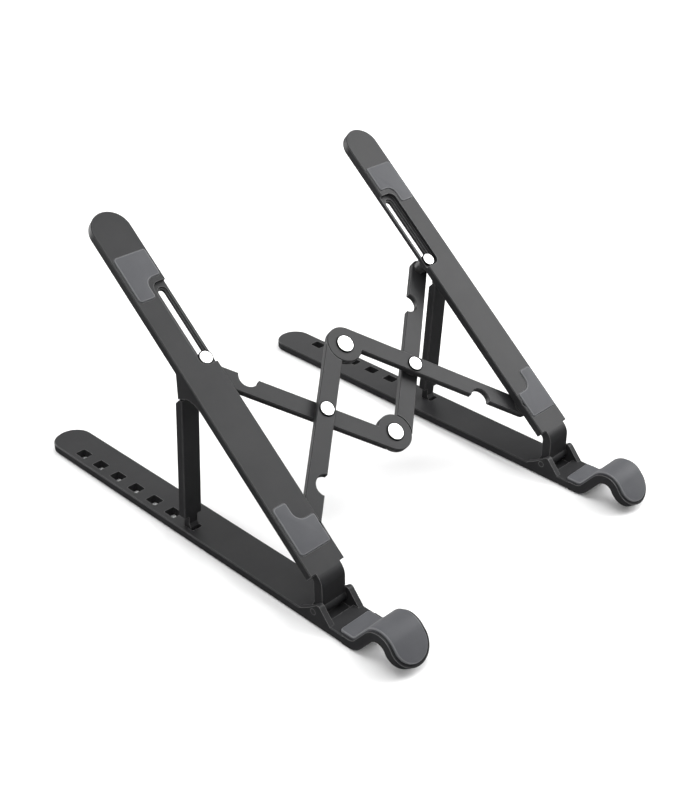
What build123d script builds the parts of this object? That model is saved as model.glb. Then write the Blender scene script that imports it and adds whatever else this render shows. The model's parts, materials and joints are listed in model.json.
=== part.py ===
from build123d import *
import math
import os

# Foldable laptop stand. Two mirror-image sides (a base rail with a front hook, a tilting support arm
# and a prop strut) are joined by a two-cell scissor of four links that lies just under the arms.
# Millimetres. +X is the user's right, -Y faces the user, +Z is up. The origin is the centre of the
# footprint on the table. It is modelled spread to full width, with the strut feet in the front holes.

# Driving dimensions: overall
HALF_SPACING = 80.2          # centre line of a rail or arm from the middle of the stand
FOOT_PROUD = 0.5             # rubber feet stand out below the rails
RUNNING_FIT = 0.06           # radial clearance of a pin or rivet that turns
SEAT_GAP = 0.05              # axial clearance under a head or washer that turns
GAP = 0.3                    # clearance between faces that move past each other

# Base rail
RAIL_WIDTH = 20.5
RAIL_THICK = 4.4
RAIL_REAR = 128.45           # rear end of the rail
HOLE_COUNT = 7
HOLE_PITCH = 14.87
REAR_HOLE = 102.45           # centre of the rearmost hole
HOLE_OFFSET = 4.4            # hole row, outwards from the rail's centre line
HOLE_WIDTH = 5.7
HOLE_LENGTH = 7.5
HOLE_CORNER = 0.8

# Front hinge
HINGE_Y = -75.4
HINGE_Z = 7.5
HINGE_PIN = 3.0              # diameter
LUG_THICK = 2.8
LUG_REAR = -66.6             # the ears run up from here
LUG_BOW_Y = -72.3            # their rear edge bows through this point
LUG_BOW_Z = 8.1
LUG_PEAK_Y = -78.6
LUG_PEAK_Z = 13.1
LUG_PEAK_RADIUS = 1.8
LUG_FRONT = -85.6
WELL_FRONT = -82.4           # well in the plate under the pin
WELL_REAR = -69.4
WELL_FLOOR = 2.6
TONGUE_WIDTH = 13.9
TONGUE_THICK = 5.0
TONGUE_EYE = 3.4             # radius of the tongue's eye round the pin
TONGUE_OVERLAP = 4.0         # the tongue starts this far up the arm

# Hook that holds the laptop's front edge: corners of its top face and their radii
VALLEY_Y = -98.85
VALLEY_RADIUS = 5.0
CREST_Y = -113.6
CREST_Z = 23.1
CREST_RADIUS = 8.9
DISC_Y = -121.8              # centre of the round front end
DISC_Z = 12.5
DISC_RADIUS = 10.4
DISC_OVERLAP = 1.8           # the disc runs back this far past its centre
HOOK_OVERLAP = 1.0           # the hook's strip runs this far into the plate

# Support arm
TILT = 40.5                  # degrees above the table
ARM_FRONT_Y = -74.55         # front edge of the arm's top face
ARM_FRONT_Z = 25.35
ARM_WIDTH = 19.8
ARM_THICK = 4.6
ARM_LENGTH = 187.4
BEND_RADIUS = 7.5            # outside of the bend into the tongue
SLOT_OFFSET = 6.2            # slot line, inwards from the arm's centre line
BAY_START = 103.0            # open recess round the slot
BAY_END = 147.5
BAY_SIDE = 1.7               # its closed side, inwards from the arm's centre line
BAY_DEPTH = 2.0
BAY_CORNER = 3.6
SLOT_CLEARANCE = 0.2         # round the slide rivet's shank
CHANNEL_SIDE = 0.8           # shallow channel round the slot, wider than the slot by this
CHANNEL_DEPTH = 0.8

# Scissor in the arms' plane, in distances along the arm
FIXED_PIVOT = 17.5           # rivets that stay on the arms
LINK_HALF = 62.5             # end pivot to crossing pivot
RING_REACH = 38.4            # crossing pivot to ring centre, along the link
RING_OFFSET = 4.75           # ring centre from the link's centre line
LINK_GAP = 0.3               # between two links that lie side by side when folded
LINK_THICK = 3.6
UPPER_LAYER = 5.5            # depth of the upper links' top face below the arm's top face
LOWER_LAYER = 10.3           # depth of the lower links' top face
NOTCH_RADIUS = 5.2           # clears a ring rivet of the other layer when folded

# Rivets and washers
SLIDE_SHANK = 3.2
SLIDE_HEAD = 7.1
CROSS_SHANK = 4.0
CROSS_HEAD = 8.0
RING_SHANK = 4.4
RING_HEAD = 9.4
RING_TAIL = 6.8
FIXED_SHANK = 4.0
FIXED_HEAD = 7.0
HEAD_HEIGHT = 0.7
HEAD_CHAMFER = 0.25
SLIDE_HEAD_HEIGHT = 1.0
TAIL_HEIGHT = 0.6
WASHER_DIAMETER = 8.4

# Prop strut
STRUT_PIN_ALONG = 99.5       # distance along the arm
STRUT_PIN_DEPTH = 9.3        # below the arm's top face
STRUT_PIN = 2.4              # diameter
STRUT_LEAN = 4.4             # degrees, foot rearwards
STRUT_FRONT = -0.45          # bar's front face, behind the pin
STRUT_THICK = 4.5
STRUT_WIDTH = 10.0
STRUT_CENTRE = 4.4           # outwards from the arm's centre line
STRUT_EYE = 3.2              # radius of the eye round the pin
STRUT_NECK = 6.4             # width of the part between the ears
BAR_TOP = -5.3               # top of the bar, from the pin
BAR_SLOPE_START = 1.3        # its rear corner slopes down from here
BAR_SLOPE_END = -8.5
BAR_CHAMFER = 0.3
SHOULDER_Z = 11.3            # where the bar narrows to the foot
FOOT_WIDTH = 5.0
FOOT_THICK = 3.9
FOOT_DIP = 2.0               # foot below the rail's top face
HEEL = 1.0                   # sloped corner at the foot's rear
TOE_REACH = 1.1              # toe ahead of the bar's front face
TOE_CORNER = 0.7
TOE_TOP = 2.4
TOE_ROOT = 4.2
EAR_THICK = 2.1
EAR_SKIN = 0.6               # closed outer side of the pin's bore
EAR_FRONT = 87.0             # the ears start here along the arm
EAR_BEHIND = 1.75            # rear edge behind the pin
EAR_BELOW = 4.6              # lowest corner below the pin
EAR_NOSE_AHEAD = 4.1         # end of the hollow front edge, down the arm from the pin
EAR_NOSE_RISE = 0.3
EAR_HOLLOW = 91.4            # the hollow edge passes this point of the arm
EAR_HOLLOW_DEPTH = 5.5

# Pads
PAD_POCKET = 0.6
PAD_PROUD = 0.7
PAD_GAP = 0.15               # round a pad in its pocket
PAD_MARGIN = 1.1             # metal rim beside a pad
PAD_CORNER = 2.0
PAD_STEP_CORNER = 1.5        # tip of the narrow part, beside the notch
PAD_WIDE_CORNER = 1.2
UPPER_PAD_START = 140.4
UPPER_PAD_END = 164.3
UPPER_PAD_STEP = 150.0
UPPER_PAD_NEAR = 0.2         # side of the narrow part, inwards from the arm's centre line
UPPER_PAD_NOTCH = 4.2        # radius of the notch's inner corner
LOWER_PAD_START = 9.2
LOWER_PAD_STEP = 23.4
LOWER_PAD_END = 33.4
LOWER_PAD_NEAR = -0.9
LOWER_PAD_NOTCH = 4.8
HOOK_PAD_START = -90.3
HOOK_PAD_THICK = 1.2
HOOK_PAD_MARGIN = 1.5
FOOT_PAD_DEPTH = 0.8
FOOT_PAD_WIDTH = 13.0
FOOT_PAD_CORNER = 4.0
FRONT_FOOT = (-97.0, -84.6)  # front and rear ends of the rubber feet
REAR_FOOT = (109.0, 123.5)
EDGE = 0.4                   # chamfer on the outer edges

# Worked out from the above
RAIL_BOTTOM = FOOT_PROUD
RAIL_TOP = RAIL_BOTTOM + RAIL_THICK
LINK_WIDTH = 2 * RING_OFFSET - LINK_GAP
RING_RADIUS = RING_OFFSET + LINK_WIDTH / 2
SLOT_LINE = HALF_SPACING - SLOT_OFFSET


def spread_angle():
    """Angle between the links and the arms when the slot lines are SLOT_LINE from the middle."""
    reach = math.hypot(LINK_HALF + RING_REACH, RING_OFFSET)
    lead = math.atan2(RING_OFFSET, LINK_HALF + RING_REACH)
    return math.degrees(math.asin(SLOT_LINE / reach) - lead)


SPREAD = spread_angle()
SLIDE_SPREAD = FIXED_PIVOT + 2 * LINK_HALF * math.cos(math.radians(SPREAD))
SLIDE_FOLDED = FIXED_PIVOT + 2 * LINK_HALF
CROSS_ALONG = (FIXED_PIVOT + SLIDE_SPREAD) / 2
CROSS_X = SLOT_LINE - LINK_HALF * math.sin(math.radians(SPREAD))
RING_RISE = math.sqrt(RING_REACH ** 2 + RING_OFFSET ** 2 - CROSS_X ** 2)
NOTCH_ALONG = LINK_HALF - RING_REACH

# The arm plane: local x is X, local y runs up the arm, local z is the top face's normal
ARM_PLANE = Plane(
    origin=(0, ARM_FRONT_Y, ARM_FRONT_Z),
    x_dir=(1, 0, 0),
    z_dir=(0, -math.sin(math.radians(TILT)), math.cos(math.radians(TILT))),
)


def on_arm(shape):
    """Move a shape from arm coordinates to the stand's frame."""
    return ARM_PLANE.location * shape


def arm_point(along, depth):
    """Y and Z of a point of the arm."""
    tilt = math.radians(TILT)
    y = ARM_FRONT_Y + along * math.cos(tilt) + depth * math.sin(tilt)
    z = ARM_FRONT_Z + along * math.sin(tilt) - depth * math.cos(tilt)
    return y, z


def cylinder_z(x, y, low, high, diameter):
    """Upright cylinder between two heights."""
    solid = Cylinder(diameter / 2, high - low, align=(Align.CENTER, Align.CENTER, Align.MIN))
    return Pos(x, y, low) * solid


def cylinder_x(x_low, x_high, y, z, diameter):
    """Cylinder along X."""
    solid = Cylinder(diameter / 2, x_high - x_low, align=(Align.CENTER, Align.CENTER, Align.MIN))
    return Pos(x_low, y, z) * Rot(0, 90, 0) * solid


def slab(x_low, x_high, y_low, y_high, z_low, z_high):
    """Plain block between limits."""
    block = Box(x_high - x_low, y_high - y_low, z_high - z_low, align=(Align.MIN,) * 3)
    return Pos(x_low, y_low, z_low) * block


def plate(sketch, low, high):
    """Extrude an XY sketch between two heights."""
    return Pos(0, 0, low) * extrude(sketch, high - low, dir=(0, 0, 1))


def soft_rectangle(x_low, x_high, y_low, y_high, corner):
    """Rounded rectangle between limits."""
    centre = Pos((x_low + x_high) / 2, (y_low + y_high) / 2)
    return centre * RectangleRounded(x_high - x_low, y_high - y_low, corner)


def rectangle(x_low, x_high, y_low, y_high):
    """Sharp rectangle between limits."""
    centre = Pos((x_low + x_high) / 2, (y_low + y_high) / 2)
    return centre * Rectangle(x_high - x_low, y_high - y_low)


def side_profile(sketch_yz, x_low, x_high):
    """Extrude a sketch drawn with x as Y and y as Z, between two X values."""
    plane = Plane(origin=(x_low, 0, 0), x_dir=(0, 1, 0), z_dir=(1, 0, 0))
    return plane.location * extrude(sketch_yz, x_high - x_low)


def outline_edges(solid, height):
    """Edges of a plate's faces that lie flat at one height."""
    return solid.edges().filter_by(lambda e: abs(e.bounding_box().min.Z - height) < 1e-4
                                   and abs(e.bounding_box().max.Z - height) < 1e-4)


# Pieces are made for the left side (-X), where "inner" is towards +X, and mirrored for the right.

def hook_outwards():
    """Unit vector (y, z) out of the top face of the hook's falling stretch."""
    run = math.hypot(CREST_Y - DISC_Y, CREST_Z - DISC_Z)
    return (DISC_Z - CREST_Z) / run, (CREST_Y - DISC_Y) / run


def hook_strip(start_y, lift, thick):
    """Strip that follows the hook's top face, from start_y to the disc's centre.

    lift is how far its lower face stands off the metal's top face.
    """
    corners = [(start_y, RAIL_TOP), (VALLEY_Y, RAIL_TOP), (CREST_Y, CREST_Z), (DISC_Y, DISC_Z)]
    lower = offset_path(corners, lift)
    upper = offset_path(corners, lift + thick)
    low_line = FilletPolyline(*lower, radius=[VALLEY_RADIUS - lift, CREST_RADIUS + lift])
    high_radii = [VALLEY_RADIUS - lift - thick, CREST_RADIUS + lift + thick]
    high_line = FilletPolyline(*upper, radius=high_radii)
    ends = [Line(lower[0], upper[0]), Line(lower[-1], upper[-1])]
    return make_face([*low_line.edges(), *high_line.edges(), *ends])


def offset_path(corners, distance):
    """Corners of an open path of (y, z) points, moved sideways out of the hook's top face."""
    normals = []
    for (y1, z1), (y2, z2) in zip(corners, corners[1:]):
        run = math.hypot(y2 - y1, z2 - z1)
        normals.append(((z2 - z1) / run, -(y2 - y1) / run))
    moved = []
    for index, (y, z) in enumerate(corners):
        before = normals[max(index - 1, 0)]
        after = normals[min(index, len(normals) - 1)]
        share = distance / (1 + before[0] * after[0] + before[1] * after[1])
        moved.append((y + (before[0] + after[0]) * share, z + (before[1] + after[1]) * share))
    return moved


def disc(radius, lift, thick):
    """Half-round end of the hook, on its falling stretch."""
    outwards = hook_outwards()
    plane = Plane(
        origin=(0, DISC_Y + outwards[0] * lift, DISC_Z + outwards[1] * lift),
        x_dir=(1, 0, 0),
        z_dir=(0, outwards[0], outwards[1]),
    )
    front_half = Circle(radius) & rectangle(-radius - 1, radius + 1, -radius - 1, DISC_OVERLAP)
    return plane.location * extrude(front_half, thick)


def hinge_ear_profile():
    """Side view of the two ears that carry the hinge pin."""
    sink = RAIL_TOP - 1
    foot_of_rear = (LUG_REAR, RAIL_TOP)
    peak = (LUG_PEAK_Y, LUG_PEAK_Z)
    rear = ThreePointArc(foot_of_rear, (LUG_BOW_Y, LUG_BOW_Z), peak)
    rest = Polyline(peak, (LUG_FRONT, RAIL_TOP), (LUG_FRONT, sink), (LUG_REAR, sink), foot_of_rear)
    face = make_face([*rear.edges(), *rest.edges()])
    return fillet(face.vertices().sort_by(Axis.Y)[-1], LUG_PEAK_RADIUS)


def base_rail():
    """Rail, hinge ears and hook of one side, in one bent and milled plate, centred on x = 0."""
    half = RAIL_WIDTH / 2
    outline = Pos(0, RAIL_REAR - half) * Circle(half)
    outline += rectangle(-half, half, VALLEY_Y + VALLEY_RADIUS, RAIL_REAR - half)
    body = plate(outline, RAIL_BOTTOM, RAIL_TOP)
    body = chamfer(outline_edges(body, RAIL_TOP) + outline_edges(body, RAIL_BOTTOM), EDGE)
    hook = hook_strip(VALLEY_Y + VALLEY_RADIUS + HOOK_OVERLAP, -RAIL_THICK, RAIL_THICK)
    body += side_profile(hook, -half, half)
    body += disc(DISC_RADIUS, -RAIL_THICK, RAIL_THICK)
    body += side_profile(hinge_ear_profile(), -half, half)
    inside = half - LUG_THICK
    body -= slab(-inside, inside, WELL_FRONT, WELL_REAR, WELL_FLOOR, LUG_PEAK_Z + 1)
    body -= slab(-inside, inside, LUG_FRONT - 1, LUG_REAR + 1, RAIL_TOP, LUG_PEAK_Z + 1)
    for index in range(HOLE_COUNT):
        y = REAR_HOLE - index * HOLE_PITCH
        hole = Pos(-HOLE_OFFSET, y) * RectangleRounded(HOLE_WIDTH, HOLE_LENGTH, HOLE_CORNER)
        body -= plate(hole, RAIL_BOTTOM - 1, RAIL_TOP + 1)
    body -= cylinder_x(-half - 1, half + 1, HINGE_Y, HINGE_Z, HINGE_PIN)
    for span in (FRONT_FOOT, REAR_FOOT):
        body -= plate(foot_outline(span), RAIL_BOTTOM - 1, RAIL_BOTTOM + FOOT_PAD_DEPTH)
    return body


def foot_outline(span):
    """Outline of a rubber foot between its front and rear ends."""
    half = FOOT_PAD_WIDTH / 2
    return soft_rectangle(-half, half, span[0], span[1], FOOT_PAD_CORNER)


def rubber_foot(span):
    """Rubber foot let into the rail's underside."""
    return plate(foot_outline(span), 0, RAIL_BOTTOM + FOOT_PAD_DEPTH)


def hook_pad():
    """Silicone pad from the plate over the crest to the round end."""
    half = RAIL_WIDTH / 2 - HOOK_PAD_MARGIN
    pad = side_profile(hook_strip(HOOK_PAD_START, 0, HOOK_PAD_THICK), -half, half)
    pad += disc(DISC_RADIUS - HOOK_PAD_MARGIN, 0, HOOK_PAD_THICK)
    return pad


# Support arm, in arm coordinates and centred on x = 0

def arm_outline():
    """Bar with a round top end."""
    half = ARM_WIDTH / 2
    bar = rectangle(-half, half, 0, ARM_LENGTH - half)
    return bar + Pos(0, ARM_LENGTH - half) * Circle(half)


def stepped_outline(narrow_end, step, wide_end, near, notch, shrink):
    """Pad outline: full width from wide_end to step, then only the outer part to narrow_end."""
    way = math.copysign(1, wide_end - narrow_end)
    half = ARM_WIDTH / 2 - PAD_MARGIN - shrink
    near -= shrink
    narrow_end += way * shrink
    step += way * shrink
    wide_end -= way * shrink
    corners = [
        (-half, narrow_end), (near, narrow_end), (near, step),
        (half, step), (half, wide_end), (-half, wide_end),
    ]
    radii = [PAD_CORNER, PAD_STEP_CORNER, notch + shrink, PAD_WIDE_CORNER, PAD_WIDE_CORNER, PAD_CORNER]
    return make_face(FilletPolyline(*corners, radius=radii, close=True).edges())


def upper_pad_outline(shrink):
    """Pad near the top end, stepped round the bay."""
    return stepped_outline(
        UPPER_PAD_START, UPPER_PAD_STEP, UPPER_PAD_END, UPPER_PAD_NEAR, UPPER_PAD_NOTCH, shrink
    )


def lower_pad_outline(shrink):
    """Pad near the hinge, stepped on its inner side."""
    return stepped_outline(
        LOWER_PAD_END, LOWER_PAD_STEP, LOWER_PAD_START, LOWER_PAD_NEAR, LOWER_PAD_NOTCH, shrink
    )


def tongue():
    """Tongue bent down from the arm's front edge, in the stand's frame, centred on x = 0."""
    tilt = math.radians(TILT)
    start = arm_point(TONGUE_OVERLAP, 0)
    face_y = HINGE_Y - TONGUE_THICK / 2
    corner_z = ARM_FRONT_Z - (ARM_FRONT_Y - face_y) * math.tan(tilt)
    outer = FilletPolyline(start, (face_y, corner_z), (face_y, HINGE_Z), radius=BEND_RADIUS)
    rear_y = HINGE_Y + TONGUE_THICK / 2
    inner_start = arm_point(TONGUE_OVERLAP, ARM_THICK)
    inner_z = inner_start[1] - (inner_start[0] - rear_y) * math.tan(tilt)
    inner_corners = [inner_start, (rear_y, inner_z), (rear_y, HINGE_Z)]
    inner = FilletPolyline(*inner_corners, radius=BEND_RADIUS - TONGUE_THICK)
    ends = [Line(start, inner_start), Line((face_y, HINGE_Z), (rear_y, HINGE_Z))]
    profile = make_face([*outer.edges(), *inner.edges(), *ends])
    profile += Pos(HINGE_Y, HINGE_Z) * Circle(TONGUE_EYE)
    profile -= Pos(HINGE_Y, HINGE_Z) * Circle(HINGE_PIN / 2 + RUNNING_FIT)
    half = TONGUE_WIDTH / 2
    return side_profile(profile, -half, half)


def strut_ear():
    """Side view of an ear for the strut pin: upright rear edge and a hollow front edge."""
    sink = ARM_THICK - 1
    tilt = math.radians(TILT)
    pin_y, pin_z = arm_point(STRUT_PIN_ALONG, STRUT_PIN_DEPTH)
    rear = pin_y + EAR_BEHIND
    rear_along = (rear - ARM_FRONT_Y - sink * math.sin(tilt)) / math.cos(tilt)
    front = arm_point(EAR_FRONT, ARM_THICK)
    nose = arm_point(STRUT_PIN_ALONG - EAR_NOSE_AHEAD, STRUT_PIN_DEPTH - EAR_NOSE_RISE)
    hollow = arm_point(EAR_HOLLOW, EAR_HOLLOW_DEPTH)
    edge = ThreePointArc(front, hollow, nose)
    rest = Polyline(
        nose, (rear, pin_z - EAR_BELOW), arm_point(rear_along, sink), arm_point(EAR_FRONT, sink), front
    )
    return make_face([*edge.edges(), *rest.edges()])


def strut_ears():
    """Both ears of one arm, in the stand's frame; the pin's bore is blind from the inner side."""
    outer = -ARM_WIDTH / 2
    inner = outer + 2 * EAR_THICK + STRUT_NECK + 2 * GAP
    pin_y, pin_z = arm_point(STRUT_PIN_ALONG, STRUT_PIN_DEPTH)
    ears = side_profile(strut_ear(), outer, outer + EAR_THICK)
    ears += side_profile(strut_ear(), inner - EAR_THICK, inner)
    return ears - cylinder_x(outer + EAR_SKIN, inner + 1, pin_y, pin_z, STRUT_PIN)


def support_arm():
    """Arm with its bay, slot, pad pockets, strut ears and hinge tongue."""
    body = plate(arm_outline(), -ARM_THICK, 0)
    body = chamfer(outline_edges(body, 0) + outline_edges(body, -ARM_THICK), EDGE)
    bay = soft_rectangle(BAY_SIDE, ARM_WIDTH, BAY_START, BAY_END, BAY_CORNER)
    body -= plate(bay, -BAY_DEPTH, 1)
    body -= plate(slot_outline(0), -ARM_THICK - 1, 1)
    body -= plate(slot_outline(CHANNEL_SIDE), -BAY_DEPTH - CHANNEL_DEPTH, 1)
    body -= plate(upper_pad_outline(0), -PAD_POCKET, 1)
    body -= plate(lower_pad_outline(0), -PAD_POCKET, 1)
    body -= cylinder_z(SLOT_OFFSET, FIXED_PIVOT, -ARM_THICK - 1, 1, FIXED_SHANK)
    body -= cylinder_z(SLOT_OFFSET, FIXED_PIVOT, -PAD_POCKET - HEAD_HEIGHT, 1, FIXED_HEAD)
    return on_arm(body) + tongue() + strut_ears()


def slot_outline(wider):
    """Slot for the slide rivet, or the channel that is wider all round."""
    half = SLIDE_SHANK / 2 + SLOT_CLEARANCE + wider
    low = SLIDE_SPREAD - half - SLOT_CLEARANCE
    high = SLIDE_FOLDED + half + SLOT_CLEARANCE
    return Pos(SLOT_OFFSET, (low + high) / 2) * Rot(0, 0, 90) * SlotOverall(high - low, 2 * half)


def arm_pad(outline):
    """Silicone pad in its pocket."""
    return on_arm(plate(outline, -PAD_POCKET, PAD_PROUD))


# Prop strut, in its own frame: pin at the origin, bar hanging down -Z, offset towards +Y

def strut_location():
    """Place of the strut's own frame on the stand."""
    y, z = arm_point(STRUT_PIN_ALONG, STRUT_PIN_DEPTH)
    return Pos(-STRUT_CENTRE, y, z) * Rot(STRUT_LEAN, 0, 0)


def strut():
    """Flat bar with a narrowed top between the ears and a narrow foot that stands in a hole."""
    pin_z = arm_point(STRUT_PIN_ALONG, STRUT_PIN_DEPTH)[1]
    length = (pin_z - RAIL_TOP + FOOT_DIP) / math.cos(math.radians(STRUT_LEAN))
    shoulder = (pin_z - SHOULDER_Z) / math.cos(math.radians(STRUT_LEAN))
    front = STRUT_FRONT
    rear = front + STRUT_THICK
    half_neck = STRUT_NECK / 2
    body = side_profile(Circle(STRUT_EYE), -half_neck, half_neck)
    body += slab(-half_neck, half_neck, front, STRUT_EYE, BAR_SLOPE_END - 1, 0)
    bar = make_face(Polyline(
        (front, BAR_TOP), (BAR_SLOPE_START, BAR_TOP), (rear, BAR_SLOPE_END),
        (rear, -shoulder), (front, -shoulder), (front, BAR_TOP),
    ).edges())
    bar = side_profile(bar, -STRUT_WIDTH / 2, STRUT_WIDTH / 2)
    body += chamfer(bar.edges().filter_by(Axis.Z), BAR_CHAMFER)
    body += side_profile(foot_profile(front, -shoulder, -length), -FOOT_WIDTH / 2, FOOT_WIDTH / 2)
    body -= cylinder_x(-STRUT_WIDTH, STRUT_WIDTH, 0, 0, STRUT_PIN + 2 * RUNNING_FIT)
    return strut_location() * body


def foot_profile(front, top, bottom):
    """Side view of the strut's foot, with a toe that hooks under the hole's front edge."""
    root = top + 1
    heel = front + FOOT_THICK
    toe = front - TOE_REACH
    return make_face(Polyline(
        (front, root), (heel, root), (heel, bottom + HEEL), (heel - HEEL, bottom),
        (toe + TOE_CORNER, bottom), (toe, bottom + TOE_CORNER), (toe, bottom + TOE_TOP),
        (front, bottom + TOE_ROOT), (front, root),
    ).edges())


def strut_pin():
    """Pin through the inner ear and the strut's eye into the outer ear."""
    outer = -ARM_WIDTH / 2
    inner = outer + 2 * EAR_THICK + STRUT_NECK + 2 * GAP
    pin_y, pin_z = arm_point(STRUT_PIN_ALONG, STRUT_PIN_DEPTH)
    return cylinder_x(outer + EAR_SKIN, inner, pin_y, pin_z, STRUT_PIN)


def hinge_pin():
    """Pin through the rail's ears and the arm's tongue."""
    half = RAIL_WIDTH / 2
    return cylinder_x(-half, half, HINGE_Y, HINGE_Z, HINGE_PIN)


# Scissor links, in link coordinates: end pivot at the origin, crossing pivot and ring along +X

def link(ring_side, top_half, end_hole, cross_hole):
    """Flat link; ring_side is the side of the ring's offset, top_half the half of the lapped ring."""
    far = LINK_HALF + RING_REACH
    ring_y = ring_side * RING_OFFSET
    outline = Circle(LINK_WIDTH / 2)
    outline += Pos(far / 2, 0) * Rectangle(far, LINK_WIDTH)
    outline += Pos(far, ring_y) * Circle(RING_RADIUS)
    outline -= Pos(NOTCH_ALONG, ring_y) * Circle(NOTCH_RADIUS)
    body = plate(outline, -LINK_THICK, 0)
    body = chamfer(outline_edges(body, 0) + outline_edges(body, -LINK_THICK), EDGE)
    middle = -LINK_THICK / 2
    cut_low, cut_high = (-LINK_THICK - 1, middle + SEAT_GAP) if top_half else (middle - SEAT_GAP, 1)
    body -= cylinder_z(far, ring_y, cut_low, cut_high, 2 * (RING_RADIUS + GAP))
    body -= cylinder_z(0, 0, -LINK_THICK - 1, 1, end_hole)
    body -= cylinder_z(LINK_HALF, 0, -LINK_THICK - 1, 1, cross_hole)
    ring_hole = RING_SHANK if top_half else RING_SHANK + 2 * RUNNING_FIT
    body -= cylinder_z(far, ring_y, -LINK_THICK - 1, 1, ring_hole)
    return body


def place_link(body, start_along, rising, layer):
    """Put a left link on the arm plane, turned up the arm (rising) or down it."""
    turn = 90 - SPREAD if rising else SPREAD - 90
    return on_arm(Pos(-SLOT_LINE, start_along, -layer) * Rot(0, 0, turn) * body)


def rivet(x, along, shank, head, head_top, tail_bottom, tail_diameter, grip_top, grip_bottom):
    """Rivet with a low domed head above grip_top and a flat tail below grip_bottom."""
    body = cylinder_z(x, along, grip_bottom, grip_top, shank)
    top = cylinder_z(x, along, grip_top, head_top, head)
    top = chamfer(outline_edges(top, head_top), HEAD_CHAMFER)
    return on_arm(body + top + cylinder_z(x, along, tail_bottom, grip_bottom, tail_diameter))


def washer(x, along, low, high, hole):
    """Flat washer."""
    ring = cylinder_z(x, along, low, high, WASHER_DIAMETER)
    return on_arm(ring - cylinder_z(x, along, low - 1, high + 1, hole))


def left_pieces():
    """Pieces that have a mirror image on the right side."""
    centre = Pos(-HALF_SPACING, 0, 0)
    pieces = {
        "base_rail": centre * base_rail(),
        "hook_pad": centre * hook_pad(),
        "front_foot": centre * rubber_foot(FRONT_FOOT),
        "rear_foot": centre * rubber_foot(REAR_FOOT),
        "hinge_pin": centre * hinge_pin(),
        "support_arm": centre * support_arm(),
        "upper_pad": centre * arm_pad(upper_pad_outline(PAD_GAP)),
        "lower_pad": centre * arm_pad(lower_pad_outline(PAD_GAP)),
        "strut": centre * strut(),
        "strut_pin": centre * strut_pin(),
    }
    upper_bottom = -UPPER_LAYER - LINK_THICK
    lower_bottom = -LOWER_LAYER - LINK_THICK
    slide_top = -BAY_DEPTH + 2 * SEAT_GAP
    pieces["slide_rivet"] = rivet(
        -SLOT_LINE, SLIDE_SPREAD, SLIDE_SHANK, SLIDE_HEAD, slide_top + SLIDE_HEAD_HEIGHT,
        lower_bottom - TAIL_HEIGHT, SLIDE_HEAD, slide_top, lower_bottom,
    )
    sleeve_low = -LOWER_LAYER
    sleeve_high = -ARM_THICK - 2 * SEAT_GAP
    sleeve = cylinder_z(-SLOT_LINE, SLIDE_SPREAD, sleeve_low, sleeve_high, SLIDE_HEAD)
    sleeve -= cylinder_z(-SLOT_LINE, SLIDE_SPREAD, sleeve_low - 1, sleeve_high + 1, SLIDE_SHANK)
    pieces["slide_sleeve"] = on_arm(sleeve)
    pieces["cross_rivet"] = rivet(
        -CROSS_X, CROSS_ALONG, CROSS_SHANK, CROSS_HEAD, -UPPER_LAYER + HEAD_HEIGHT,
        lower_bottom - SEAT_GAP - TAIL_HEIGHT, CROSS_HEAD, -UPPER_LAYER, lower_bottom - SEAT_GAP,
    )
    cross_seat = -LOWER_LAYER + SEAT_GAP
    pieces["cross_washer"] = washer(-CROSS_X, CROSS_ALONG, cross_seat, upper_bottom, CROSS_SHANK)
    pivot_tail = upper_bottom - SEAT_GAP
    pieces["pivot_rivet"] = rivet(
        -SLOT_LINE, FIXED_PIVOT, FIXED_SHANK, FIXED_HEAD, -PAD_POCKET,
        pivot_tail - TAIL_HEIGHT, FIXED_HEAD, -PAD_POCKET - HEAD_HEIGHT, pivot_tail,
    )
    pivot_seat = -UPPER_LAYER + SEAT_GAP
    pieces["pivot_washer"] = washer(-SLOT_LINE, FIXED_PIVOT, pivot_seat, -ARM_THICK, FIXED_SHANK)
    loose = 2 * RUNNING_FIT
    for side, top_half in (("left", False), ("right", True)):
        pivot = link(-1, top_half, FIXED_SHANK + loose, CROSS_SHANK)
        slide = link(1, not top_half, SLIDE_SHANK, CROSS_SHANK + loose)
        placed_pivot = place_link(pivot, FIXED_PIVOT, True, UPPER_LAYER)
        placed_slide = place_link(slide, SLIDE_SPREAD, False, LOWER_LAYER)
        pieces[side + " pivot_link"] = placed_pivot
        pieces[side + " slide_link"] = placed_slide
    return pieces


def ring_rivets():
    """Rivets of the two lapped rings on the middle plane."""
    lower_bottom = -LOWER_LAYER - LINK_THICK
    upper_bottom = -UPPER_LAYER - LINK_THICK
    rear = rivet(
        0, CROSS_ALONG + RING_RISE, RING_SHANK, RING_HEAD, -UPPER_LAYER + HEAD_HEIGHT,
        upper_bottom - SEAT_GAP - TAIL_HEIGHT, RING_TAIL, -UPPER_LAYER, upper_bottom - SEAT_GAP,
    )
    front = rivet(
        0, CROSS_ALONG - RING_RISE, RING_SHANK, RING_HEAD, -LOWER_LAYER + HEAD_HEIGHT,
        lower_bottom - SEAT_GAP - TAIL_HEIGHT, RING_TAIL, -LOWER_LAYER, lower_bottom - SEAT_GAP,
    )
    return {"rear_ring_rivet": rear, "front_ring_rivet": front}


def all_pieces():
    """Every node by name."""
    nodes = ring_rivets()
    for name, shape in left_pieces().items():
        side, _, own = name.rpartition(" ")
        if side != "right":
            nodes["left_" + own] = shape
        if side != "left":
            nodes["right_" + own] = mirror(shape, Plane.YZ)
    return nodes


def main():
    """Write one STEP file for each node."""
    os.makedirs("parts", exist_ok=True)
    for name, shape in all_pieces().items():
        export_step(shape, "parts/" + name + ".step")


main()
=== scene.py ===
import json
import math

import bmesh
import bpy
from mathutils import Matrix, Vector

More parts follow.
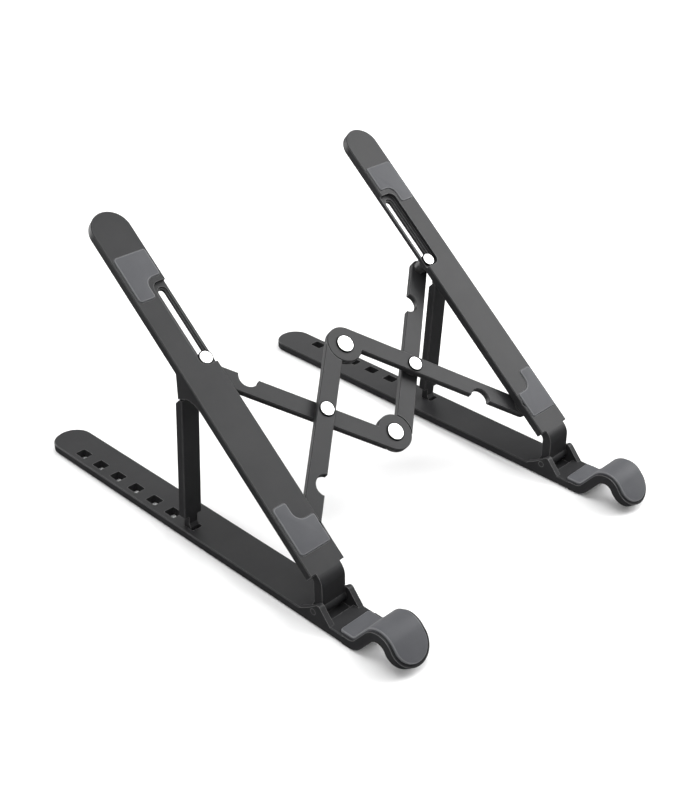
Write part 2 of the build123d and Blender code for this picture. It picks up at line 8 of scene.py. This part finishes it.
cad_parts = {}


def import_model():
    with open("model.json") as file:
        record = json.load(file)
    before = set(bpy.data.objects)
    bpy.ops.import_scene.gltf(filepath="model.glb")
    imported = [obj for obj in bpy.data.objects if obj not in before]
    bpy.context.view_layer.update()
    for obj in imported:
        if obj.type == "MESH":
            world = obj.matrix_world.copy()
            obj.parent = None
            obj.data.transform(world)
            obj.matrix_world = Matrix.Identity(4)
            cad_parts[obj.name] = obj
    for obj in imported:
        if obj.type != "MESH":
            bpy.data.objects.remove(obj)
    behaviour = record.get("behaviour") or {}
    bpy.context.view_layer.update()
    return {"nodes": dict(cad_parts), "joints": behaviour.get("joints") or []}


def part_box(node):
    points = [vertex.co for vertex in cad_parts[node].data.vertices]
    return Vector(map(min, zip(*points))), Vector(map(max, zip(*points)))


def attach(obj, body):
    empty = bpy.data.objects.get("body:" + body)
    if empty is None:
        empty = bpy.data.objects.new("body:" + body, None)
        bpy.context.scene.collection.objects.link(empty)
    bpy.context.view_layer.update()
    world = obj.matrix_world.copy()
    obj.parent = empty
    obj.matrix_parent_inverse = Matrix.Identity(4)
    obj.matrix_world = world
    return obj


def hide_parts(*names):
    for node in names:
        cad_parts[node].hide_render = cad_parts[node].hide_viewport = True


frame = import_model()
nodes = frame["nodes"]
MM = 0.001
SIDES = ("left", "right")

# The arm plane and the sides' distance from the middle, read from the joints
joints = {joint["name"]: joint for joint in frame["joints"]}
ARM_NORMAL = Vector(joints["spread_fold"]["axis"]).normalized()
ARM_SIDEWAYS = Vector((1, 0, 0))
ARM_UP = ARM_NORMAL.cross(ARM_SIDEWAYS)
HALF_SPACING = -joints["arm_tilt"]["pos_m"][0]

# Camera: angles in degrees, distances in metres, focal length and sensor in mm
CAMERA_AZIMUTH = -45.14
CAMERA_ELEVATION = 30.41
CAMERA_ROLL = -0.30
CAMERA_DISTANCE = 619.2 * MM
CAMERA_TARGET = Vector((8.0, -0.55, 40.65)) * MM
CAMERA_NEAR = 0.01
CAMERA_LENS = 55.7
CAMERA_SENSOR = 36

# Hook: corners (y, z) of the metal's top face and the radii at the two inner corners, in mm
HOOK_CORNERS = ((-90.3, 4.9), (-98.85, 4.9), (-113.6, 23.1), (-121.8, 12.5))
HOOK_RADII = (5.0, 8.9)
HOOK_DISC = 10.4             # radius of the metal's round end
HOOK_PAD_MARGIN = 1.5        # metal rim round the pad
HOOK_PAD_THICK = 1.2
HOOK_PAD_LIFT = 0.02         # keeps the pad's underside off the metal
HOOK_PAD_CORNER = 1.6
HOOK_PAD_STRIP = 0.7         # length of the strips that follow the bends
HOOK_END_STEPS = 24          # facets of the round end

# Arm pads, in mm. A pad is narrow beside a notch; near is the notch's side from the arm's
# centre line, step its end from the pad's wide end, and notch the radius of its inner corner.
PAD_EDGE = 0.6
PAD_CORNER = 1.85
PAD_TIP_CORNER = 1.35
PAD_WIDE_CORNER = 1.05
UPPER_PAD = {"near": 0.05, "step": 14.0, "notch": 4.35, "narrow_low": True}
LOWER_PAD = {"near": -1.05, "step": 13.9, "notch": 4.95, "narrow_low": False}

# Rubber feet, in mm
FOOT_CORNER = 4.0
FOOT_EDGE = 0.3

# Rivets, in mm: a bright face stands in a dark collar, whose near-black colour is painted shade for
# the dark outline round the head
SLIDE_RIVET = {"shank": 1.6, "tail": 3.4, "head_height": 1.0}
CROSS_RIVET = {"shank": 2.0, "tail": 3.7, "head_height": 0.7}
RING_RIVET = {"shank": 2.2, "tail": 3.4, "head_height": 0.7}
LATHE_SEGMENTS = 64
COLLAR_WIDTH = 0.5
COLLAR_DROP = 0.1            # the collar's top below the crown's
COLLAR_EDGE = 0.25
GROOVE_WIDTH = 0.12
GROOVE_DEPTH = 0.25
FACE_EDGE = 0.15
CROWN = 0.12
CROWN_STEPS = 6
TAIL_EDGE = 0.15
TAIL_HEIGHT = 0.55

ARC_STEPS = 8                # facets of a rounded corner
RIM_STEPS = 6                # facets of a rivet's rounded rim
EDGE_SEGMENTS = 4            # facets across a pad's rounded edge
SMOOTH_ANGLE = 35            # degrees; sharper edges stay sharp
TINY = 1e-9                  # metres; a smaller distance counts as none
CUT_SNAP = 1e-7              # metres; a cut snaps to a vertex this near

# CAD nodes that stay, without their side, by material
METAL_NODES = ("base_rail", "support_arm", "strut", "pivot_link", "slide_link", "hinge_pin")
STEEL_NODES = ("strut_pin", "pivot_rivet")
NYLON_NODES = ("slide_sleeve", "cross_washer", "pivot_washer")

# Stage and lights: each soft box has a direction from the stand, a distance and a side in
# metres, and a power in watts
STAGE_RADIUS = 1.2
STAGE_SEGMENTS = 64
LIGHT_TARGET = Vector((0, 0, 0.05))
WORLD_STRENGTH = 0.06
LIGHTS = (
    ("key", (0.75, -0.34, 0.60), 1.5, 1.0, 23),
    ("top", (0.0, 0.0, 1.0), 3.0, 3.0, 92),
    ("rear", (0.56, 0.70, 0.44), 1.8, 0.9, 4.4),
    ("bevels", (-0.78, -0.29, 0.55), 2.0, 1.2, 15),
    ("back", (-0.3, 0.93, 0.12), 2.2, 1.6, 40),
)


# ---------------------------------------------------------------- materials

def new_material(name, colour, roughness, metallic=0.0):
    """Material with its Principled shader."""
    material = bpy.data.materials.new(name)
    material.use_nodes = True
    tree = material.node_tree
    shader = tree.nodes["Principled BSDF"]
    shader.inputs["Base Color"].default_value = (*colour, 1)
    shader.inputs["Roughness"].default_value = roughness
    shader.inputs["Metallic"].default_value = metallic
    return material, tree, shader


def object_coordinates(tree):
    """Object coordinates in metres."""
    return tree.nodes.new("ShaderNodeTexCoord").outputs["Object"]


def noise(tree, scale, detail, roughness=0.5):
    """Noise texture over the object; scale is in features per metre."""
    node = tree.nodes.new("ShaderNodeTexNoise")
    node.inputs["Scale"].default_value = scale
    node.inputs["Detail"].default_value = detail
    node.inputs["Roughness"].default_value = roughness
    tree.links.new(object_coordinates(tree), node.inputs["Vector"])
    return node.outputs["Fac"]


def ramp(tree, value, stops):
    """Colour ramp from (position, colour) stops."""
    node = tree.nodes.new("ShaderNodeValToRGB")
    tree.links.new(value, node.inputs["Fac"])
    elements = node.color_ramp.elements
    while len(elements) < len(stops):
        elements.new(0.5)
    for element, (position, colour) in zip(elements, stops):
        element.position = position
        element.color = (*colour, 1)
    return node.outputs["Color"]


def bump(tree, shader, height, strength, distance):
    """Bump from a height value; distance in metres."""
    node = tree.nodes.new("ShaderNodeBump")
    node.inputs["Strength"].default_value = strength
    node.inputs["Distance"].default_value = distance
    tree.links.new(height, node.inputs["Height"])
    tree.links.new(node.outputs["Normal"], shader.inputs["Normal"])


def edge_mask(tree, radius):
    """Value that rises to 1 along sharp edges and is 0 on open faces; radius in metres."""
    bevel = tree.nodes.new("ShaderNodeBevel")
    bevel.samples = 8
    bevel.inputs["Radius"].default_value = radius
    geometry = tree.nodes.new("ShaderNodeNewGeometry")
    product = tree.nodes.new("ShaderNodeVectorMath")
    product.operation = "DOT_PRODUCT"
    tree.links.new(bevel.outputs["Normal"], product.inputs[0])
    tree.links.new(geometry.outputs["Normal"], product.inputs[1])
    mask = tree.nodes.new("ShaderNodeMapRange")
    mask.inputs["From Min"].default_value = 0.99
    mask.inputs["From Max"].default_value = 0.88
    tree.links.new(product.outputs["Value"], mask.inputs["Value"])
    return mask.outputs["Result"]


def paint_edge_highlight(tree, colour, highlight_colour, mask):
    """Colour that turns to a pale painted highlight where the mask is 1."""
    node = tree.nodes.new("ShaderNodeMix")
    node.data_type = "RGBA"
    tree.links.new(mask, node.inputs["Factor"])
    tree.links.new(colour, node.inputs["A"])
    node.inputs["B"].default_value = (*highlight_colour, 1)
    return node.outputs["Result"]


def grey(level):
    """Neutral colour."""
    return (level, level, level)


def anodised_metal():
    """Bead-blasted aluminium, anodised near black, with a painted highlight along its sharp edges."""
    material, tree, shader = new_material("anodised_metal", grey(0.018), 0.46)
    clouds = noise(tree, 60, 4)
    colour = ramp(tree, clouds, [(0.3, (0.016, 0.016, 0.017)), (0.7, (0.021, 0.021, 0.022))])
    # Painted highlight: the colour turns pale grey along sharp edges, convex and concave, standing
    # for light caught by the chamfers
    colour = paint_edge_highlight(tree, colour, grey(0.11), edge_mask(tree, 0.0005))
    tree.links.new(colour, shader.inputs["Base Color"])
    grain = noise(tree, 4200, 2, 0.7)
    shine = ramp(tree, grain, [(0.2, grey(0.40)), (0.8, grey(0.52))])
    tree.links.new(shine, shader.inputs["Roughness"])
    shader.inputs["Specular IOR Level"].default_value = 0.24
    bump(tree, shader, grain, 0.12, 0.00008)
    return material


def silicone():
    """Smooth grey silicone with a faint dusty bloom."""
    material, tree, shader = new_material("silicone", (0.060, 0.0615, 0.068), 0.62)
    clouds = noise(tree, 110, 5, 0.6)
    colour = ramp(tree, clouds, [(0.3, (0.056, 0.0575, 0.064)), (0.7, (0.064, 0.0655, 0.072))])
    tree.links.new(colour, shader.inputs["Base Color"])
    grain = noise(tree, 2600, 3, 0.6)
    shine = ramp(tree, grain, [(0.2, grey(0.55)), (0.8, grey(0.70))])
    tree.links.new(shine, shader.inputs["Roughness"])
    shader.inputs["Sheen Weight"].default_value = 0.12
    shader.inputs["Specular IOR Level"].default_value = 0.38
    bump(tree, shader, grain, 0.10, 0.0001)
    return material


def silicone_rim_painted_highlight():
    """The pads' rounded rim, painted paler than their face as a painted highlight where the edge
    catches light.
    """
    material, tree, shader = new_material("silicone_rim_painted_highlight", (0.115, 0.117, 0.123), 0.55)
    grain = noise(tree, 2600, 3, 0.6)
    colour = ramp(tree, grain, [(0.3, (0.105, 0.107, 0.113)), (0.7, (0.125, 0.127, 0.134))])
    tree.links.new(colour, shader.inputs["Base Color"])
    bump(tree, shader, grain, 0.10, 0.0001)
    return material


def foot_rubber():
    """Black moulded rubber."""
    material, tree, shader = new_material("foot_rubber", grey(0.02), 0.75)
    grain = noise(tree, 1800, 3, 0.6)
    colour = ramp(tree, grain, [(0.3, grey(0.016)), (0.7, grey(0.026))])
    tree.links.new(colour, shader.inputs["Base Color"])
    bump(tree, shader, grain, 0.2, 0.0001)
    return material


def bright_steel():
    """Satin rivet head, almost white under soft light."""
    material, tree, shader = new_material("steel", grey(0.86), 0.35, 0.6)
    grain = noise(tree, 1500, 3, 0.6)
    colour = ramp(tree, grain, [(0.3, grey(0.82)), (0.7, grey(0.92))])
    tree.links.new(colour, shader.inputs["Base Color"])
    shine = ramp(tree, grain, [(0.3, grey(0.28)), (0.7, grey(0.42))])
    tree.links.new(shine, shader.inputs["Roughness"])
    bump(tree, shader, grain, 0.06, 0.0001)
    return material


def dark_steel_and_painted_shade():
    """Near-black steel of the pins and the rivets' bodies; on a rivet's collar the near black is
    painted shade, the dark outline round the head.
    """
    material, tree, shader = new_material("dark_steel_and_painted_shade", grey(0.006), 0.55)
    grain = noise(tree, 1500, 3, 0.6)
    colour = ramp(tree, grain, [(0.3, grey(0.004)), (0.7, grey(0.008))])
    tree.links.new(colour, shader.inputs["Base Color"])
    shader.inputs["Specular IOR Level"].default_value = 0.12
    return material


def nylon():
    """Black nylon washers and sleeves."""
    material, tree, shader = new_material("nylon", grey(0.03), 0.5)
    grain = noise(tree, 1500, 2, 0.5)
    colour = ramp(tree, grain, [(0.3, grey(0.024)), (0.7, grey(0.036))])
    tree.links.new(colour, shader.inputs["Base Color"])
    bump(tree, shader, grain, 0.1, 0.00005)
    return material


METAL = anodised_metal()
PAD_MATERIALS = [silicone(), silicone_rim_painted_highlight()]
PAD_RIM_HIGHLIGHT_SLOT = 1             # index of the rim's painted-highlight material among them
RUBBER = foot_rubber()
STEEL = bright_steel()
DARK_STEEL_AND_PAINTED_SHADE = dark_steel_and_painted_shade()
NYLON = nylon()


# ---------------------------------------------------------------- mesh helpers

def add_piece(name, mesh_data, materials, body):
    """Object from a bmesh, riding on a body; faces choose among the materials by index."""
    mesh = bpy.data.meshes.new(name)
    bmesh.ops.recalc_face_normals(mesh_data, faces=mesh_data.faces)
    mesh_data.to_mesh(mesh)
    mesh_data.free()
    piece = bpy.data.objects.new(name, mesh)
    bpy.context.scene.collection.objects.link(piece)
    for material in materials:
        mesh.materials.append(material)
    mesh.shade_smooth()
    mesh.set_sharp_from_angle(angle=math.radians(SMOOTH_ANGLE))
    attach(piece, body)
    return piece


def rounded_outline(corners):
    """Closed outline from (x, y, radius) corners; a radius rounds its corner with an arc."""
    points = []
    count = len(corners)
    for index, (x, y, radius) in enumerate(corners):
        here = Vector((x, y))
        if not radius:
            points.append(here)
            continue
        before = (Vector(corners[index - 1][:2]) - here).normalized()
        after = (Vector(corners[(index + 1) % count][:2]) - here).normalized()
        half = before.angle(after) / 2
        tangent = radius / math.tan(half)
        centre = here + (before + after).normalized() * (radius / math.sin(half))
        first = here + before * tangent - centre
        last = here + after * tangent - centre
        sweep = first.angle_signed(last)
        for step in range(ARC_STEPS + 1):
            turn = Matrix.Rotation(-sweep * step / ARC_STEPS, 2)
            points.append(centre + turn @ first)
    return points


def pad_mesh(outline, low, high, edge, rim_slot):
    """Flat pad between two heights; its upper edge is rounded and takes the slot's material."""
    data = bmesh.new()
    base = [data.verts.new((point.x, point.y, low)) for point in outline]
    floor = data.faces.new(base)
    grown = bmesh.ops.extrude_face_region(data, geom=[floor])
    raised = [item for item in grown["geom"] if isinstance(item, bmesh.types.BMVert)]
    bmesh.ops.translate(data, vec=(0, 0, high - low), verts=raised)
    bmesh.ops.recalc_face_normals(data, faces=data.faces)
    rim = [line for line in data.edges if all(abs(v.co.z - high) < TINY for v in line.verts)]
    rounded = bmesh.ops.bevel(
        data, geom=rim, offset=edge, segments=EDGE_SEGMENTS, profile=0.5, affect="EDGES"
    )
    for face in rounded["faces"]:
        face.material_index = rim_slot
    return data


def lathe_mesh(profile):
    """Turned solid from (radius, height) points; it closes on the axis at both ends."""
    data = bmesh.new()
    rings = []
    for radius, height in profile:
        if radius < TINY:
            rings.append([data.verts.new((0, 0, height))])
            continue
        ring = []
        for index in range(LATHE_SEGMENTS):
            angle = 2 * math.pi * index / LATHE_SEGMENTS
            across = (radius * math.cos(angle), radius * math.sin(angle))
            ring.append(data.verts.new((*across, height)))
        rings.append(ring)
    for lower, upper in zip(rings, rings[1:]):
        for index in range(LATHE_SEGMENTS):
            following = (index + 1) % LATHE_SEGMENTS
            if len(lower) == 1:
                data.faces.new((lower[0], upper[following], upper[index]))
            elif len(upper) == 1:
                data.faces.new((lower[index], lower[following], upper[0]))
            else:
                data.faces.new((lower[index], lower[following], upper[following], upper[index]))
    return data


def arm_matrix(origin):
    """Place on the arm plane: x sideways, y up the arm, z out of it."""
    matrix = Matrix((ARM_SIDEWAYS, ARM_UP, ARM_NORMAL)).transposed().to_4x4()
    matrix.translation = origin
    return matrix


def extents(node, matrix):
    """Lowest and highest corner of a CAD node in a matrix's own coordinates."""
    inverse = matrix.inverted()
    points = [inverse @ vertex.co for vertex in nodes[node].data.vertices]
    low = Vector([min(point[axis] for point in points) for axis in range(3)])
    high = Vector([max(point[axis] for point in points) for axis in range(3)])
    return low, high


# ---------------------------------------------------------------- pieces

ARM_FRAME = arm_matrix(Vector((0, 0, 0)))


def arm_pad(side, name, near, step, notch, narrow_low):
    """Silicone pad on an arm: full width, then narrow beside a notch with a rounded corner."""
    node = side + "_" + name
    low, high = extents(node, ARM_FRAME)
    inner = 1 if side == "left" else -1
    near_x = (near * MM - HALF_SPACING) * inner
    outer_x, inner_x = (low.x, high.x) if side == "left" else (high.x, low.x)
    wide_y, narrow_y = (high.y, low.y) if narrow_low else (low.y, high.y)
    step_y = wide_y + math.copysign(step * MM, narrow_y - wide_y)
    corners = [
        (outer_x, narrow_y, PAD_CORNER * MM), (near_x, narrow_y, PAD_TIP_CORNER * MM),
        (near_x, step_y, notch * MM), (inner_x, step_y, PAD_WIDE_CORNER * MM),
        (inner_x, wide_y, PAD_WIDE_CORNER * MM), (outer_x, wide_y, PAD_CORNER * MM),
    ]
    data = pad_mesh(rounded_outline(corners), low.z, high.z, PAD_EDGE * MM, PAD_RIM_HIGHLIGHT_SLOT)
    bmesh.ops.transform(data, matrix=ARM_FRAME, verts=data.verts)
    piece = add_piece(side + "_arm_" + name, data, PAD_MATERIALS, side + "_arm")
    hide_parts(node)


class Stretch:
    """Stretch of a path; its radius is signed by the way it bends, and 0 where it is straight."""

    def __init__(self, start, direction, length, radius=0):
        self.start = start
        self.direction = direction
        self.length = length
        self.radius = radius

    def at(self, distance):
        """Point and outward normal at a distance along the stretch."""
        normal = Vector((self.direction.y, -self.direction.x))
        if not self.radius:
            return self.start + self.direction * distance, normal
        centre = self.start + normal * self.radius
        turn = Matrix.Rotation(-distance / self.radius, 2)
        return centre + turn @ (self.start - centre), turn @ normal


def hook_path():
    """Top face of the hook in side view: straight stretches joined by tangent arcs."""
    corners = [Vector(point) * MM for point in HOOK_CORNERS]
    path = []
    start = corners[0]
    for corner, after, radius_mm in zip(corners[1:], corners[2:], HOOK_RADII):
        radius = radius_mm * MM
        incoming = (corner - start).normalized()
        outgoing = (after - corner).normalized()
        turn = incoming.angle_signed(outgoing)
        tangent = radius * math.tan(abs(turn) / 2)
        bend = corner - incoming * tangent
        path.append(Stretch(start, incoming, (bend - start).length))
        path.append(Stretch(bend, incoming, radius * abs(turn), math.copysign(radius, turn)))
        start = corner + outgoing * tangent
    path.append(Stretch(start, outgoing, (corners[-1] - start).length))
    return path


def on_path(path, distance):
    """Point and outward normal at a distance along a path; it runs on straight past its end."""
    for stretch in path[:-1]:
        if distance <= stretch.length:
            return stretch.at(distance)
        distance -= stretch.length
    return path[-1].at(distance)


def cut_into_strips(data, length, reach):
    """Cut a flat mesh across y at every length, up to its reach."""
    for index in range(1, int(reach / length)):
        geometry = data.verts[:] + data.edges[:] + data.faces[:]
        place = Vector((0, index * length, 0))
        bmesh.ops.bisect_plane(data, geom=geometry, plane_co=place, plane_no=(0, 1, 0), dist=CUT_SNAP)


def hook_pad(side):
    """Silicone pad bent over the hook, with a half-round front end."""
    path = hook_path()
    reach = sum(stretch.length for stretch in path)
    low, high = extents(side + "_hook_pad", Matrix.Identity(4))
    half = (high.x - low.x) / 2
    corner = HOOK_PAD_CORNER * MM
    corners = [(-half, 0, corner), (half, 0, corner), (half, reach, 0), (-half, reach, 0)]
    outline = rounded_outline(corners)[:-2]  # the round end replaces the two square corners
    disc = (HOOK_DISC - HOOK_PAD_MARGIN) * MM
    for step in range(HOOK_END_STEPS + 1):
        angle = math.pi * step / HOOK_END_STEPS
        outline.append(Vector((disc * math.cos(angle), reach + disc * math.sin(angle))))
    lift = HOOK_PAD_LIFT * MM
    data = pad_mesh(outline, lift, HOOK_PAD_THICK * MM, PAD_EDGE * MM, PAD_RIM_HIGHLIGHT_SLOT)
    cut_into_strips(data, HOOK_PAD_STRIP * MM, reach)
    centre = -HALF_SPACING if side == "left" else HALF_SPACING
    for vertex in data.verts:
        point, normal = on_path(path, vertex.co.y)
        place = point + normal * vertex.co.z
        vertex.co = Vector((centre + vertex.co.x, place.x, place.y))
    piece = add_piece(side + "_hook_silicone", data, PAD_MATERIALS, side + "_rail")
    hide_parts(side + "_hook_pad")


def foot(side, name):
    """Rubber foot under the rail, with a rounded tread edge."""
    node = side + "_" + name
    low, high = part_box(node)
    radius = FOOT_CORNER * MM
    front = [(low.x, low.y, radius), (high.x, low.y, radius)]
    rear = [(high.x, high.y, radius), (low.x, high.y, radius)]
    outline = rounded_outline([*front, *rear])
    data = pad_mesh(outline, -high.z, -low.z, FOOT_EDGE * MM, rim_slot=0)
    flip = Matrix.Diagonal((1, 1, -1, 1))
    bmesh.ops.transform(data, matrix=flip, verts=data.verts)
    piece = add_piece(node + "_tread", data, [RUBBER], side + "_rail")
    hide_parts(node)


def rivet(node, body, shank, tail, head_height):
    """Rivet turned from a profile: flat tail, shank, a collar painted near black as painted shade
    round the face, and a low domed bright face.
    """
    low, high = extents(node, ARM_FRAME)
    centre = (low + high) / 2
    head = (high.x - low.x) / 2
    shank *= MM
    tail *= MM
    base = high.z - head_height * MM
    face = head - COLLAR_WIDTH * MM
    rim_top = high.z - COLLAR_DROP * MM
    groove = rim_top - GROOVE_DEPTH * MM
    tail_top = low.z + TAIL_HEIGHT * MM
    profile = [(0, low.z), (tail - TAIL_EDGE * MM, low.z)]
    profile += [(tail, low.z + TAIL_EDGE * MM), (tail, tail_top)]
    profile += [(shank, tail_top), (shank, base), (head, base)]
    profile += rounded_rim(head, rim_top, COLLAR_EDGE * MM)
    groove_side = face + GROOVE_WIDTH * MM
    profile += [(groove_side, rim_top), (groove_side, groove), (face, groove)]
    collar_points = len(profile)
    profile += rounded_rim(face, high.z - CROWN * MM, FACE_EDGE * MM)
    flat = face - FACE_EDGE * MM
    for step in range(1, CROWN_STEPS + 1):
        share = step / CROWN_STEPS
        profile.append((flat * (1 - share), high.z - CROWN * MM * (1 - share) ** 2))
    data = lathe_mesh(profile)
    place = Matrix.Translation(Vector((centre.x, centre.y, 0)))
    bmesh.ops.transform(data, matrix=ARM_FRAME @ place, verts=data.verts)
    # The collar and everything below it take the near-black material, painted shade round the bright
    # face
    piece = add_piece(node + "_turned", data, [DARK_STEEL_AND_PAINTED_SHADE, STEEL], body)
    for polygon in piece.data.polygons:
        band = polygon.index // LATHE_SEGMENTS
        polygon.material_index = 1 if band >= collar_points - 1 else 0
    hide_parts(node)


def rounded_rim(radius, top, edge):
    """Quarter-round profile points at the top of a turned rim."""
    points = []
    for step in range(RIM_STEPS + 1):
        angle = math.pi / 2 * step / RIM_STEPS
        points.append((radius - edge + edge * math.cos(angle), top - edge + edge * math.sin(angle)))
    return points


for side in SIDES:
    arm_pad(side, "upper_pad", **UPPER_PAD)
    arm_pad(side, "lower_pad", **LOWER_PAD)
    hook_pad(side)
    foot(side, "front_foot")
    foot(side, "rear_foot")
    rivet(side + "_slide_rivet", side + "_slide_link", **SLIDE_RIVET)
    rivet(side + "_cross_rivet", side + "_pivot_link", **CROSS_RIVET)
rivet("rear_ring_rivet", "right_pivot_link", **RING_RIVET)
rivet("front_ring_rivet", "left_slide_link", **RING_RIVET)


# ---------------------------------------------------------------- CAD nodes that stay

def dress(node, material):
    """Give a CAD node its material."""
    mesh = nodes[node].data
    mesh.materials.clear()
    mesh.materials.append(material)


for side in SIDES:
    for name in METAL_NODES:
        dress(side + "_" + name, METAL)
    for name in STEEL_NODES:
        dress(side + "_" + name, DARK_STEEL_AND_PAINTED_SHADE)
    for name in NYLON_NODES:
        dress(side + "_" + name, NYLON)


# ---------------------------------------------------------------- stage, lights and camera

def stage_piece(name, data, material):
    """Floor or backdrop from a bmesh."""
    mesh = bpy.data.meshes.new(name)
    data.to_mesh(mesh)
    data.free()
    mesh.materials.append(material)
    piece = bpy.data.objects.new(name, mesh)
    bpy.context.scene.collection.objects.link(piece)
    return piece


def floor():
    """Pale floor, kept out of reflections so that the plates' edges stay dark."""
    data = bmesh.new()
    bmesh.ops.create_circle(data, cap_ends=True, segments=STAGE_SEGMENTS, radius=STAGE_RADIUS)
    material, _, shader = new_material("floor", grey(0.92), 0.9)
    shader.inputs["Specular IOR Level"].default_value = 0.1
    piece = stage_piece("floor", data, material)
    piece.visible_glossy = False


def backdrop():
    """White dome behind everything, seen by the camera only and lighting nothing."""
    data = bmesh.new()
    bmesh.ops.create_uvsphere(
        data, u_segments=STAGE_SEGMENTS, v_segments=STAGE_SEGMENTS // 2, radius=STAGE_RADIUS
    )
    material = bpy.data.materials.new("backdrop")
    material.use_nodes = True
    tree = material.node_tree
    tree.nodes.clear()
    glow = tree.nodes.new("ShaderNodeEmission")
    surface = tree.nodes.new("ShaderNodeOutputMaterial")
    tree.links.new(glow.outputs["Emission"], surface.inputs["Surface"])
    piece = stage_piece("backdrop", data, material)
    piece.visible_diffuse = False
    piece.visible_glossy = False
    piece.visible_transmission = False
    piece.visible_shadow = False


def area_light(name, direction, distance, size, power):
    """Square soft box that shines from a direction towards the stand."""
    data = bpy.data.lights.new(name, "AREA")
    data.shape = "SQUARE"
    data.size = size
    data.energy = power
    lamp = bpy.data.objects.new(name, data)
    bpy.context.scene.collection.objects.link(lamp)
    away = Vector(direction).normalized()
    lamp.location = LIGHT_TARGET + away * distance
    lamp.rotation_mode = "QUATERNION"
    lamp.rotation_quaternion = (-away).to_track_quat("-Z", "Y")


def camera():
    """Camera that looks at the target from its azimuth and elevation."""
    azimuth = math.radians(CAMERA_AZIMUTH)
    elevation = math.radians(CAMERA_ELEVATION)
    level = Vector((math.sin(azimuth), -math.cos(azimuth), 0))
    back = level * math.cos(elevation) + Vector((0, 0, math.sin(elevation)))
    data = bpy.data.cameras.new("camera")
    data.lens = CAMERA_LENS
    data.sensor_width = CAMERA_SENSOR
    data.clip_start = CAMERA_NEAR
    viewer = bpy.data.objects.new("camera", data)
    bpy.context.scene.collection.objects.link(viewer)
    viewer.location = CAMERA_TARGET + back * CAMERA_DISTANCE
    viewer.rotation_mode = "QUATERNION"
    roll = Matrix.Rotation(math.radians(CAMERA_ROLL), 4, "Z").to_quaternion()
    viewer.rotation_quaternion = (-back).to_track_quat("-Z", "Y") @ roll
    bpy.context.scene.camera = viewer


def world(strength):
    """Even pale surroundings."""
    sky = bpy.data.worlds.new("world")
    sky.use_nodes = True
    background = sky.node_tree.nodes["Background"]
    background.inputs["Color"].default_value = (1, 1, 1, 1)
    background.inputs["Strength"].default_value = strength
    bpy.context.scene.world = sky


floor()
backdrop()
camera()
world(WORLD_STRENGTH)
for light in LIGHTS:
    area_light(*light)
bpy.context.scene.view_settings.view_transform = "Standard"
